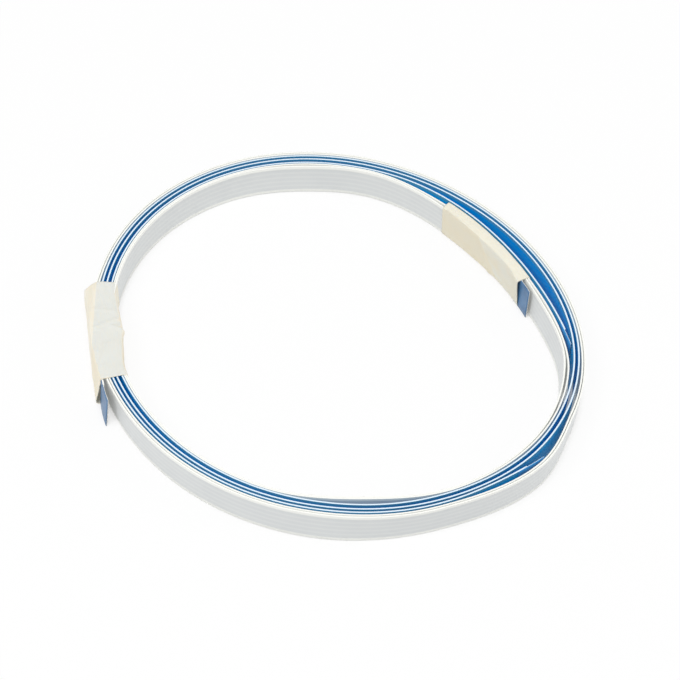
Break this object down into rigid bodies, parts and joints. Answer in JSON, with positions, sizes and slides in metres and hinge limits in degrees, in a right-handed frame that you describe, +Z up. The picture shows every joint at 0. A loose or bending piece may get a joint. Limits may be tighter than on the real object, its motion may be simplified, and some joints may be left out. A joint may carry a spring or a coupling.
{
  "type": "flat flex cable",
  "caption": "Coil of flat flex cables with stiffened bare-contact ends, wound into a soft oval ring on edge and held by wraps of masking tape.",
  "frame": {"origin": "on the surface it stands on, under the middle of the coil's box", "axes": "+Z up and along the cables' width, -Y the front that the view faces, +X right; the left tape is at -X"},
  "size_m": [0.1026, 0.1002, 0.0079],
  "materials": {
    "white_film": "white polyester laminate film, smooth",
    "blue_film": "clear blue polyester laminate film, smooth",
    "conductor": "tinned flat copper",
    "stiffener": "blue polyester stiffener",
    "tape": "cream crepe masking tape"
  },
  "bodies": {
    "root": {"outer_white_outward_film": "white_film", "outer_white_inward_film": "white_film", "blue_outward_film": "blue_film", "blue_inward_film": "blue_film", "inner_white_outward_film": "white_film", "inner_white_inward_film": "white_film", "outer_white_conductor_1": "conductor", "outer_white_conductor_2": "conductor", "outer_white_conductor_3": "conductor", "outer_white_conductor_4": "conductor", "outer_white_conductor_5": "conductor", "blue_conductor_1": "conductor", "blue_conductor_2": "conductor", "blue_conductor_3": "conductor", "blue_conductor_4": "conductor", "blue_conductor_5": "conductor", "inner_white_conductor_1": "conductor", "inner_white_conductor_2": "conductor", "inner_white_conductor_3": "conductor", "inner_white_conductor_4": "conductor", "inner_white_conductor_5": "conductor", "outer_white_outer_stiffener": "stiffener", "outer_white_inner_stiffener": "stiffener", "blue_outer_stiffener": "stiffener", "blue_inner_stiffener": "stiffener", "inner_white_outer_stiffener": "stiffener", "inner_white_inner_stiffener": "stiffener", "left_tape": "tape", "inner_tape": "tape"}
  },
  "joints": []
}
